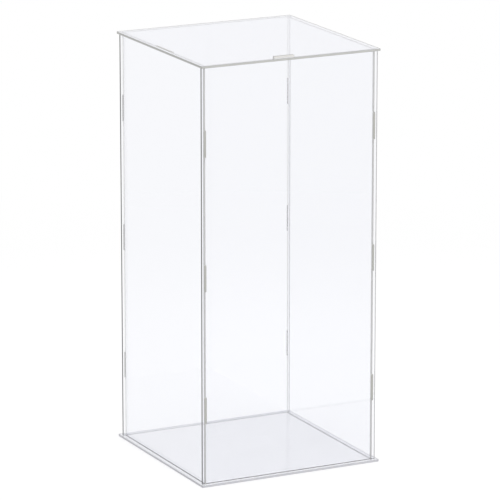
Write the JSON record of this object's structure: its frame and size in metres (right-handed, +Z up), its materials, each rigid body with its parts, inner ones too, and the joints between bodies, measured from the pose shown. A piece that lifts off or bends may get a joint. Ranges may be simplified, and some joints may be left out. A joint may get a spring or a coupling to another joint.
{
  "type": "pedestal display case",
  "caption": "Tall clear display case of flat sheets joined by tabs in slots, with a lift-off lid and walls that lift off a grooved base.",
  "frame": {"origin": "centre of the underside of the base plate", "axes": "+Z up along the case's height, +X to the case's right and +Y to its back, seen from the front"},
  "size_m": [0.28, 0.28, 0.603],
  "materials": {
    "clear_base": "clear sheet, polished faces, satin cut edges",
    "clear_wall": "clear sheet, polished faces, satin cut edges",
    "clear_lid": "clear sheet, polished faces, satin cut edges"
  },
  "bodies": {
    "base": {"base_plate": "clear_base"},
    "cover": {"front_panel": "clear_wall", "back_panel": "clear_wall", "left_panel": "clear_wall", "right_panel": "clear_wall"},
    "lid": {"lid_plate": "clear_lid"}
  },
  "joints": [
    {"name": "cover_lift", "type": "slide", "parent": "base", "child": "cover", "axis": [0, 0, 1], "range_m": [0, 0.62]},
    {"name": "lid_lift", "type": "slide", "parent": "cover", "child": "lid", "axis": [0, 0, 1], "range_m": [0, 0.3]}
  ]
}
